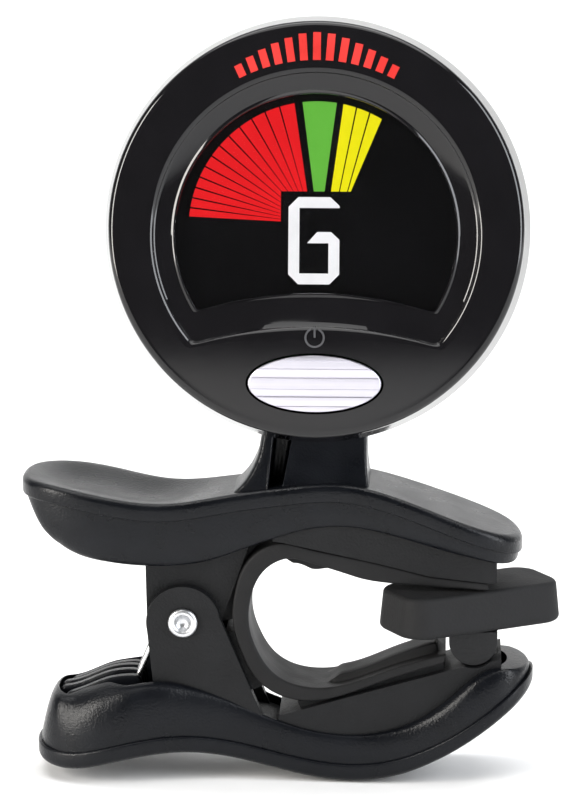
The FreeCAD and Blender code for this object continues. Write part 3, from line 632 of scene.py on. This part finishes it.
# ---- clip ------------------------------------------------------------------------------------------
def lever_layers(ring, normal, stations):
    """Stack of loops over a lever's plan. A station is (inset, share, height): the outline drawn in
    by the inset along its normal, then drawn towards the lever's middle line by 1 - share, at
    height(x, y). Share 0 lands on the middle line, where the two sides meet and close."""
    x = ring[:, 0]
    middle = np.stack([np.clip(x, x.min() + 6.5, x.max() - 5.0), 0 * x], 1)
    layers = []
    for inset, share, level in stations:
        drawn = ring - normal * (inset + 0 * x)[:, None]
        flat = middle + (drawn - middle) * share
        layers.append(np.column_stack([flat, level(flat[:, 0], flat[:, 1])]))
    return np.array(layers)


def half_width(x, shift):
    """Half width of a lever's plan at x."""
    points = [(PLAN_ENDS[0] - 0.01, 0.3)] + HALF_PLAN + [(PLAN_ENDS[1], 0.3)]
    knots, values = np.array(points).T
    return np.interp(x - shift, knots, values)


def cover_grid(top, way, shift, look):
    """Lever cover: domed loops of the plan outline under its side profile. The outer face sinks
    into a finger dish towards the handle, as the square of one less the share across the width,
    squared. Its edge is a quarter round, then the side, a small round and the flat underside."""
    ring, normal = plan_outline(shift)
    soft = look.cover_round

    def outer(depth):
        def level(x, y):
            return height(top, x) - way * depth
        return level

    def dished(x, y):
        across = np.clip(1 - (y / (half_width(x, shift) - 0.9)) ** 2, 0, 1)
        ease = smooth(-17.6, -12.1, x - shift) * (1 - smooth(-6.0, 6.0, x - shift))
        return height(top, x) - way * look.dish * ease * across ** 1.4

    stations = [(soft + 0.02, share, dished) for share in np.linspace(0, 1, 22)]
    bend = np.linspace(np.pi / 2, 0, 8)
    stations += [(soft * (1 - math.cos(a)), 1, outer(soft * (1 - math.sin(a)))) for a in bend]
    foot = 0.25
    bend = np.linspace(0, np.pi / 2, 5)
    stations += [(foot * (1 - math.cos(a)), 1, outer(COVER_T - foot * (1 - math.sin(a)))) for a in bend]
    stations += [(foot, share, outer(COVER_T)) for share in np.linspace(1, 0, 8)[1:]]
    return lever_layers(ring, normal, stations)


def edge_height(top, edge, way, crown, x, y):
    """Height of a body's free edge: its side profile, at least a little past the seam, lowered
    towards the sides of the handle by the crown times the square of the share of the width."""
    full = np.maximum((height(top, x) - height(edge, x)) * way, COVER_T + 0.08)
    bow = crown * (1 - smooth(-8.0, -1.0, x)) * np.minimum(y ** 2 / 55, 1)
    return height(top, x) - way * np.maximum(full - bow, COVER_T + 0.05)


def body_grid(top, edge, way, shift, crown, look):
    """Lever body: a trough on the plan outline. Its outer wall swells from the seam to the free edge
    on a squared-off quarter oval, a lip turns in, and the inner wall climbs to the floor. The lip
    is broad at the handle and at the nose."""
    ring, normal = plan_outline(shift)
    side = np.clip(half_width(ring[:, 0], shift) - 4.9, 0.6, look.wall)
    belly = side * 0.85 + 0.8 * crown * (1 - smooth(-9.5, -5.5, ring[:, 0]))
    x = ring[:, 0]
    wall = side + 1.5 * (1 - smooth(-9.5, -5.5, x)) + 2.0 * smooth(33.5, 36.5, x - shift)

    def at_depth(depth):
        def level(x, y):
            return height(top, x) - way * depth
        return level

    def between(share, lift=0.0):
        def level(x, y):
            seam = height(top, x) - way * COVER_T
            return seam + (edge_height(top, edge, way, crown, x, y) - seam) * share + way * lift
        return level

    def inside(share):
        def level(x, y):
            deep = height(top, x) - way * FLOOR_DEPTH
            return deep + (edge_height(top, edge, way, crown, x, y) - deep) * share * 0.97
        return level

    start = BODY_INSET
    lip = start + wall
    stations = [(start, share, at_depth(COVER_T + 0.02)) for share in np.linspace(0, 1, 8)]
    for a in np.linspace(0, np.pi / 2, 14)[1:]:
        stations.append((start + belly * (1 - math.cos(a) ** 0.7), 1, between(math.sin(a) ** 0.7)))
    for share in (0.33, 0.66):
        stations.append((start + belly + (wall - 0.1 - belly) * share, 1, between(1.0)))
    stations += [(lip - 0.02, 1, between(1.0)), (lip, 1, between(1.0, 0.12))]
    stations += [(lip + 0.1 * (1 - share), 1, inside(share)) for share in (0.66, 0.33, 0.06)]
    stations += [(lip + 0.15, share, at_depth(FLOOR_DEPTH)) for share in np.linspace(0.99, 0, 10)]
    return lever_layers(ring, normal, stations)


def blade_grid(x0, x1, y, half, low, high):
    """Thin lengthways rib: stations along x by a rounded box section from low(x) to high(x), drawn
    in at both ends on a quarter round."""
    reach = (x1 - x0) / 2
    run = np.sin(np.linspace(-np.pi / 2, np.pi / 2, 26))
    x = (x0 + x1) / 2 + reach * run
    narrow = np.clip(1 - np.abs(run) ** 14, 0, 1) ** 0.5
    turn = np.linspace(0, 2 * np.pi, 24, endpoint=False)
    round_c = np.sign(np.cos(turn)) * np.abs(np.cos(turn)) ** 0.35
    round_s = np.sign(np.sin(turn)) * np.abs(np.sin(turn)) ** 0.35
    middle, tall = (low(x) + high(x)) / 2, (high(x) - low(x)) / 2
    grid = np.stack([x[:, None] + 0 * turn, y + half * narrow[:, None] * round_c,
                     middle[:, None] + (tall * narrow)[:, None] * round_s], -1)
    return grid


def ribs(top, edge, way, crown):
    """Finger ribs of a handle, four side by side with narrow slots between them."""
    grids = []
    for i in range(-2, 2):
        side = i + 0.5

        def low(x):
            return height(top, x) - way * (COVER_T + 1.0)

        def high(x):
            return edge_height(top, edge, way, crown, x, 1.95 * side) + way * 0.1
        grid = blade_grid(-15.3 + 0.9 * abs(side), -4.6, 1.95 * side, 0.68, low, high)
        grids.append((put(grid), grid_faces(*grid.shape[:2], False, True)))
    return grids


def satin(look):
    """Lever plastic: satin, with a fine grain."""
    return finish("lever_satin", look.satin, 0.30, 0.05, (4200, 0.05), 0.2, IOR=1.30)


class TUNER_OT_levers(bpy.types.Operator):
    """Covers, bodies and finger ribs of both levers"""
    bl_idname = "tuner.levers"
    bl_label = "Levers"

    def execute(self, context):
        look = context.scene.tuner_clip
        plastic = satin(look)
        sides = (("upper", UPPER_TOP, UPPER_EDGE, 1, 0.0, 0.2),
                 ("lower", LOWER_TOP, LOWER_EDGE, -1, LOWER_SHIFT, 1.5))
        for name, top, edge, way, shift, crown in sides:
            lever = name + "_lever"
            skin = cover_grid(top, way, shift, look)
            piece(name + "_cover_skin", [(put(skin), grid_faces(*skin.shape[:2], False, True))], lever,
                  plastic, [name + "_cover"])
            trough = body_grid(top, edge, way, shift, crown, look)
            piece(name + "_trough", [(put(trough), grid_faces(*trough.shape[:2], False, True))], lever,
                  plastic, [name + "_body"])
            piece(name + "_ribs", ribs(top, edge, way, crown), lever, plastic, [name + "_body"])
        steel = finish("lever_screw_steel", (0.40, 0.40, 0.41), 0.35, 0.08, (5000, 0.01), 0.15,
                       Metallic=1.0)
        dress("steel", steel, "upper_lever_screws", "lower_lever_screws")
        return {"FINISHED"}


def neck_grid(rows=90, around=128):
    """Neck: closed loops stacked up its height. Each loop is the smooth curve round eighteen corners
    whose sides are functions of height: the flared fin on the handle side, the groove beside it, the
    column, and the round top about the ball's axis."""
    z = np.r_[np.linspace(13.6, 17.5, 26), np.linspace(17.5, 32.5, rows - 50)[1:],
              32.5 + 4.6 * np.sin(np.linspace(0, np.pi / 2, 25))[1:]][:, None]
    crown = np.sqrt(np.clip(1 - (np.maximum(z - 32.5, 0) / 4.6) ** 2, 0, 1))
    foot = np.minimum(np.clip((20.0 - z) / 4.6, 0, 2) ** 2.2, 1.3)
    left = np.interp(z, [13.6, 18, 23, 30, 32.5], [8.1, 8.3, 9.1, 10.6, 10.9]) - 2.1 * foot
    right = np.interp(z, [13.6, 24, 32.5], [20.8, 20.8, 20.1]) + 0.35 * foot
    left = 15.5 + (left - 15.5) * crown
    right = 15.5 + (right - 15.5) * crown
    front = np.interp(z, [13.6, 16.0, 27.0, 37.1], [-4.0, -4.0, -1.3, -1.3]) - 0.5 * foot
    back = np.interp(z, [13.6, 37.1], [4.0, 3.4]) + 0.5 * foot
    deep = np.clip((26.5 - z) / 3.0, 0, 1)
    slot_l = np.interp(z, [13.6, 22, 26.5], [9.5, 10.3, 11.3])
    slot_r = np.interp(z, [13.6, 22, 26.5], [10.9, 12.5, 12.0])
    slot_y = front + (0.8 - front) * deep
    r = 0.5
    corners = [(left, back - 1.4), (left, (front + back) / 2), (left, front + 1.0),
               (left + 0.35, front + 0.12), (slot_l - 0.35, front), (slot_l, front + 0.25 * deep),
               (slot_l + 0.1, slot_y - 0.2 * deep), ((slot_l + slot_r) / 2, slot_y),
               (slot_r - 0.1, slot_y - 0.2 * deep),
               (slot_r, front + 0.25 * deep), (slot_r + 0.35, front),
               ((slot_r + right) / 2, front), (right - r, front + 0.05), (right, front + 0.6),
               (right, (front + back) / 2), (right, back - 0.6), (right - r, back - 0.05),
               ((left + right) / 2, back), (left + 0.9, back - 0.15)]
    pts = np.array([np.hstack([a + 0 * z, b + 0 * z]) for a, b in corners])
    count = len(corners)
    step = np.linspace(0, count, around, endpoint=False)
    i = step.astype(int)
    t = (step - i)[:, None, None]
    p0, p1, p2, p3 = (pts[(i + k) % count] for k in (-1, 0, 1, 2))
    tension = 0.32
    m1, m2 = tension * (p2 - p0), tension * (p3 - p1)
    loop = ((2 * t ** 3 - 3 * t ** 2 + 1) * p1 + (t ** 3 - 2 * t ** 2 + t) * m1
            + (3 * t ** 2 - 2 * t ** 3) * p2 + (t ** 3 - t ** 2) * m2)
    grid = np.concatenate([loop, np.broadcast_to(z[None], loop.shape[:2] + (1,))], -1)
    grid = np.swapaxes(grid, 0, 1)
    foot_ring = np.mean(grid[:1], axis=1, keepdims=True) + 0 * grid[:1]
    top_ring = np.mean(grid[-1:], axis=1, keepdims=True) + 0 * grid[-1:]
    return np.concatenate([foot_ring, grid, top_ring])


class TUNER_OT_neck(bpy.types.Operator):
    """Neck between the upper cover and the ball"""
    bl_idname = "tuner.neck"
    bl_label = "Neck"

    def execute(self, context):
        grid = neck_grid()
        piece("neck", [(put(grid), grid_faces(*grid.shape[:2], False, True))], "upper_lever",
              satin(context.scene.tuner_clip), ["upper_cover"], 50)
        return {"FINISHED"}


class TUNER_OT_frames(bpy.types.Operator):
    """Moulded inner frames, with the ears and jaw blocks"""
    bl_idname = "tuner.frames"
    bl_label = "Inner frames"

    def execute(self, context):
        look = context.scene.tuner_clip
        matt = finish("frame_matt", look.matt, 0.50, 0.06, (3600, 0.06), 0.2, Specular_IOR_Level=0.22)
        softened("upper_frame", 0.18, matt)
        softened("lower_frame", 0.18, matt)
        return {"FINISHED"}


def lathe_grid(profile, around=72):
    """Turned piece: (radius, y) stations swept round the pin's axis."""
    r, y = np.array(profile).T
    turn = np.linspace(0, 2 * np.pi, around, endpoint=False)[:, None]
    return np.stack([r * np.cos(turn), y + 0 * turn, r * np.sin(turn)], -1)


def coil_path(turns=4, radius=2.7, pitch=0.85):
    """Spring's middle line: a helix about the pin with a straight leg from each end."""
    turn = np.linspace(0, 2 * np.pi * turns, 48 * turns + 1)
    along = pitch * (turn / (2 * np.pi) - turns / 2)
    coil = np.stack([-radius * np.cos(turn), along, radius * np.sin(turn)], 1)
    low = np.array([[-5.6, coil[0, 1], -8.2], [-4.9, coil[0, 1], -6.0], [-3.4, coil[0, 1], -2.2]])
    high = np.array([[-2.75, coil[-1, 1], 1.6], [-3.4, coil[-1, 1], 4.4], [-4.0, coil[-1, 1], 7.2]])
    return through(np.vstack([low, coil[2::3], high]), 560)


def tube_grid(path, radius, around=14):
    """Round wire: circles square to the path, drawn from its tangent and the pin's axis."""
    along = np.gradient(path, axis=0)
    along /= np.linalg.norm(along, axis=1)[:, None]
    out = np.array([0.0, 1.0, 0.0]) - along * along[:, 1:2]
    out /= np.linalg.norm(out, axis=1)[:, None]
    over = np.cross(along, out)
    turn = np.linspace(0, 2 * np.pi, around, endpoint=False)[None, :, None]
    grid = path[:, None] + radius * (np.cos(turn) * out[:, None] + np.sin(turn) * over[:, None])
    ends = [np.broadcast_to(path[i], (1, around, 3)) for i in (0, -1)]
    return np.concatenate([ends[0], grid, ends[1]])


class TUNER_OT_pivot(bpy.types.Operator):
    """Hollow rivet and torsion spring at the pivot"""
    bl_idname = "tuner.pivot"
    bl_label = "Pivot"

    def execute(self, context):
        bright = finish("rivet_bright", (0.72, 0.73, 0.75), 0.36, 0.05, (1800, 0.004), 0.08,
                        Metallic=1.0)
        half = [(0, -4.62), (0.35, -4.66), (0.65, -4.82), (0.86, -5.12), (0.98, -5.3), (1.12, -5.38),
                (1.32, -5.4), (1.52, -5.34), (1.65, -5.2), (1.7, -5.02), (1.5, -5.0), (1.5, -4.9)]
        grid = lathe_grid(half + [(r, -y) for r, y in reversed(half)])
        piece("rivet", [(put(grid), grid_faces(*grid.shape[:2], True))], "lower_lever", bright,
              ["pivot_pin"], 40)
        wire = finish("spring_steel", (0.62, 0.62, 0.63), 0.24, 0.06, (2600, 0.006), 0.12, Metallic=1.0)
        grid = tube_grid(coil_path(), 0.4)
        spring = piece("spring", [(put(grid), grid_faces(*grid.shape[:2], False, True))], None, wire,
                       ["torsion_spring"], 60)
        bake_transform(spring)
        return {"FINISHED"}


def strap_grid(look):
    """Strap: a rounded box section carried from arm to arm. Its outer and inner sides share one run
    of stations; at each, the section's depth goes from the outer side to the inner one, its four
    corners are quarter rounds, and the inner face is raised by the grip over the middle of the
    width along each arm."""
    both = np.hstack([STRAP_OUT, STRAP_IN])
    run = np.r_[0, np.cumsum(np.linalg.norm(np.diff(both, axis=0), axis=1))]
    at = np.linspace(0, run[-1], 260)
    sides = cubic(run, both, at)
    station = np.interp(at, run, np.arange(len(run)))
    outer, inner = sides[:, :2], sides[:, 2:]
    raised = smooth(6.0, 7.0, station) * (1 - smooth(8.15, 8.4, station))
    raised = raised + smooth(14.95, 15.1, station) * (1 - smooth(16.75, 16.9, station))
    corner = 0.3
    turn = np.linspace(0, np.pi / 2, 5)
    flank = STRAP_HALF - corner + corner * np.sin(turn)
    sunk = corner - corner * np.cos(turn)
    flat = np.linspace(-1, 1, 9)[1:-1] * (STRAP_HALF - corner)
    lump = np.array([-4.0, -3.2, -2.4, -2.25, -2.14, -1.9, -1.0, 0, 1.0, 1.9, 2.14, 2.25, 2.4, 3.2, 4.0])
    rise = np.array([0, 0, 0, 0.3, 0.88, 1, 1, 1, 1, 1, 0.88, 0.3, 0, 0, 0])
    width = np.r_[-flank[::-1], flat, flank, flank[::-1], lump[::-1], -flank]
    from_outer = np.r_[sunk[::-1], 0 * flat, sunk][None, :]
    from_inner = np.r_[sunk[::-1], 0 * lump, sunk][None, :]
    lift = np.r_[0 * turn, rise, 0 * turn][None, :] * raised[:, None] * look.grip
    across = inner - outer
    thick = np.linalg.norm(across, axis=1)[:, None]
    depth = np.hstack([from_outer + 0 * thick, thick - from_inner + lift])
    flat_xz = outer[:, None, :] + (across / thick)[:, None, :] * depth[:, :, None]
    grid = np.stack([flat_xz[..., 0], width + 0 * depth, flat_xz[..., 1]], -1)
    tips = [np.mean(grid[i], axis=0) + 0 * grid[:1] for i in (0, -1)]
    return np.concatenate([tips[0], grid, tips[1]])


class TUNER_OT_strap(bpy.types.Operator):
    """Rubber strap behind the throat, with its raised grips"""
    bl_idname = "tuner.strap"
    bl_label = "Strap"

    def execute(self, context):
        look = context.scene.tuner_clip
        rubber = finish("strap_rubber", look.rubber, 0.58, 0.07, (3800, 0.03), 0.2,
                        Specular_IOR_Level=0.2)
        grid = strap_grid(look)
        strap = piece("strap", [(put(grid), grid_faces(*grid.shape[:2], False, True))], None, rubber,
                      ["jaw_strap"], 40)
        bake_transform(strap)
        return {"FINISHED"}


def block_grid(long, wide, thick, corner, rim, draft):
    """Soft block lying flat: loops of a rounded rectangle, made of four quarter rounds joined by
    straights, drawn in round both rims and by the draft from foot to top."""
    turn = np.linspace(0, np.pi / 2, 17)
    quarter = np.stack([np.cos(turn), np.sin(turn)], 1)
    out = np.vstack([quarter, quarter[:, ::-1] * [-1, 1], -quarter, quarter[:, ::-1] * [1, -1]])
    centres = np.array([[1, 1], [-1, 1], [-1, -1], [1, -1]]) * [long / 2 - corner, wide / 2 - corner]
    base = np.repeat(centres, 17, axis=0)
    bend = np.linspace(0, np.pi / 2, 8)
    drawn = np.r_[rim * (1 - np.sin(bend)), draft * np.linspace(0, 1, 8)[1:-1],
                  draft + rim * (1 - np.cos(bend))]
    level = np.r_[rim * (1 - np.cos(bend)), np.linspace(rim, thick - rim, 8)[1:-1],
                  thick - rim * (1 - np.sin(bend))]
    loops = base[None] + out[None] * (corner - drawn)[:, None, None]
    shrink = np.linspace(0.04, 1, 12)[:-1]
    share = np.r_[0, shrink, np.ones(len(drawn)), shrink[::-1], 0][:, None, None]
    pick = np.r_[np.zeros(12, int), np.arange(len(drawn)), np.full(12, len(drawn) - 1)]
    flat = loops[pick] * share
    height_at = level[pick][:, None, None] + 0 * flat[..., :1]
    return np.concatenate([flat, height_at], -1)


class TUNER_OT_pad(bpy.types.Operator):
    """Swivelling rubber pad on its rocker"""
    bl_idname = "tuner.pad"
    bl_label = "Jaw pad"

    def execute(self, context):
        look = context.scene.tuner_clip
        rubber = finish("pad_rubber", [c * 1.25 for c in look.rubber], 0.7, 0.06, (3000, 0.05), 0.22,
                        Specular_IOR_Level=0.2)
        grid = block_grid(*PAD, PAD_CORNER, 0.6, 0.35)
        turn = math.radians(PAD_TURN)
        x, y, z = np.moveaxis(grid, -1, 0)
        grid = np.stack([x * math.cos(turn) - y * math.sin(turn) + PAD_SHIFT,
                         x * math.sin(turn) + y * math.cos(turn), z - PAD[2]], -1)
        piece("pad_block", [(put(grid, np.zeros(3)), grid_faces(*grid.shape[:2], False, True))], "pad",
              rubber, ["jaw_pad"], 50)
        matt = finish("rocker_matt", look.matt, 0.50, 0.06, (2600, 0.08), 0.25, Specular_IOR_Level=0.3)
        softened("pad_rocker", 0.15, matt)
        steel = finish("pin_steel", (0.5, 0.5, 0.5), 0.3, 0.06, (3000, 0.006), 0.1, Metallic=1.0)
        dress("steel", steel, "rocker_pin")
        return {"FINISHED"}


# ---- stage -------------------------------------------------------------------------------------------
def area_light(name, place, size, watts, target, shade=(1, 1, 1)):
    """Oblong soft light at a place in metres, facing the target."""
    light = bpy.data.lights.new(name, "AREA")
    light.shape = "RECTANGLE"
    light.size, light.size_y = size
    light.energy = watts
    light.color = shade
    lamp = bpy.data.objects.new(name, light)
    lamp.location = place
    lamp.rotation_euler = (Vector(target) - Vector(place)).to_track_quat("-Z", "Y").to_euler()
    bpy.context.scene.collection.objects.link(lamp)


def sweep_grid(low, rows=60):
    """Floor that turns up into a wall behind: a straight, a quarter round and a straight, by width."""
    turn = np.linspace(0, np.pi / 2, rows)
    y = np.r_[-1.6, 0.5 + 0.5 * np.sin(turn), 1.0]
    z = np.r_[0.0, 0.5 * (1 - np.cos(turn)), 2.2]
    x = np.array([-2.2, 2.2])[:, None]
    return np.stack([x + 0 * y, y + 0 * x, low + z + 0 * x], -1)


class TUNER_OT_stage(bpy.types.Operator):
    """Pale floor, soft lights and the camera"""
    bl_idname = "tuner.stage"
    bl_label = "Stage"

    def execute(self, context):
        scene = context.scene
        low = CAD_BOX[0][2]
        grid = sweep_grid(low - 0.0002)
        paper = finish("studio_paper", (0.90, 0.90, 0.90), 0.9, 0.03, None, 0.01)
        floor = bpy.data.objects.new("floor", mesh_of("floor", [(grid, grid_faces(*grid.shape[:2]))]))
        floor.data.materials.append(paper)
        scene.collection.objects.link(floor)
        world = bpy.data.worlds.new("studio")
        world.use_nodes = True
        world.node_tree.nodes["Background"].inputs["Color"].default_value = (1, 1, 1, 1)
        world.node_tree.nodes["Background"].inputs["Strength"].default_value = 0.12
        scene.world = world
        scene.view_settings.view_transform = "Standard"
        middle = (np.array(CAD_BOX[0]) + np.array(CAD_BOX[1])) / 2
        area_light("top_soft", (0.0, -0.05, 0.9), (0.9, 0.9), 6.5, middle)
        area_light("left_soft", (-0.66, -0.42, 0.20), (0.22, 0.7), 10.0, middle, (1.0, 0.97, 0.92))
        area_light("right_soft", (0.72, -0.36, 0.34), (0.4, 0.8), 9.0, middle, (0.93, 0.96, 1.0))
        area_light("wall_wash", (0.0, 0.25, 1.3), (1.8, 0.4), 10.0, (0.0, 1.0, 0.3))
        lens = bpy.data.cameras.new("view")
        lens.sensor_width = 36
        lens.lens = 165.06
        lens.clip_start = 0.01
        camera = bpy.data.objects.new("view", lens)
        camera.location = (-0.00298, -0.40644, 0.10765)
        azimuth, elevation = math.radians(2.5), math.radians(12)
        level = math.cos(elevation)
        along = Vector((-math.sin(azimuth) * level, math.cos(azimuth) * level, -math.sin(elevation)))
        camera.rotation_euler = along.to_track_quat("-Z", "Y").to_euler()
        scene.collection.objects.link(camera)
        scene.camera = camera
        return {"FINISHED"}


class TUNER_PT_pieces(bpy.types.Panel):
    """Lists the tuner's pieces and their sizes and colours"""
    bl_idname = "TUNER_PT_pieces"
    bl_label = "Clip-on tuner"
    bl_space_type = "VIEW_3D"
    bl_region_type = "UI"
    bl_category = "Tuner"

    def draw(self, context):
        layout = self.layout
        for operator in OPERATORS:
            layout.operator(operator.bl_idname)
        for look in (context.scene.tuner_head, context.scene.tuner_clip):
            for name in look.bl_rna.properties.keys():
                if name not in ("rna_type", "name"):
                    layout.prop(look, name)


OPERATORS = (TUNER_OT_casing, TUNER_OT_button, TUNER_OT_display, TUNER_OT_electronics,
             TUNER_OT_ball_joint, TUNER_OT_levers, TUNER_OT_neck, TUNER_OT_frames, TUNER_OT_pivot,
             TUNER_OT_strap, TUNER_OT_pad, TUNER_OT_stage)
CLASSES = (TunerHeadLook, TunerClipLook) + OPERATORS + (TUNER_PT_pieces,)


def register():
    for cls in CLASSES:
        bpy.utils.register_class(cls)
    bpy.types.Scene.tuner_head = bpy.props.PointerProperty(type=TunerHeadLook)
    bpy.types.Scene.tuner_clip = bpy.props.PointerProperty(type=TunerClipLook)


def unregister():
    del bpy.types.Scene.tuner_clip
    del bpy.types.Scene.tuner_head
    for cls in reversed(CLASSES):
        bpy.utils.unregister_class(cls)


def main():
    register()
    for operator in OPERATORS:
        group, name = operator.bl_idname.split(".")
        getattr(getattr(bpy.ops, group), name)()


if __name__ == "__main__":
    main()
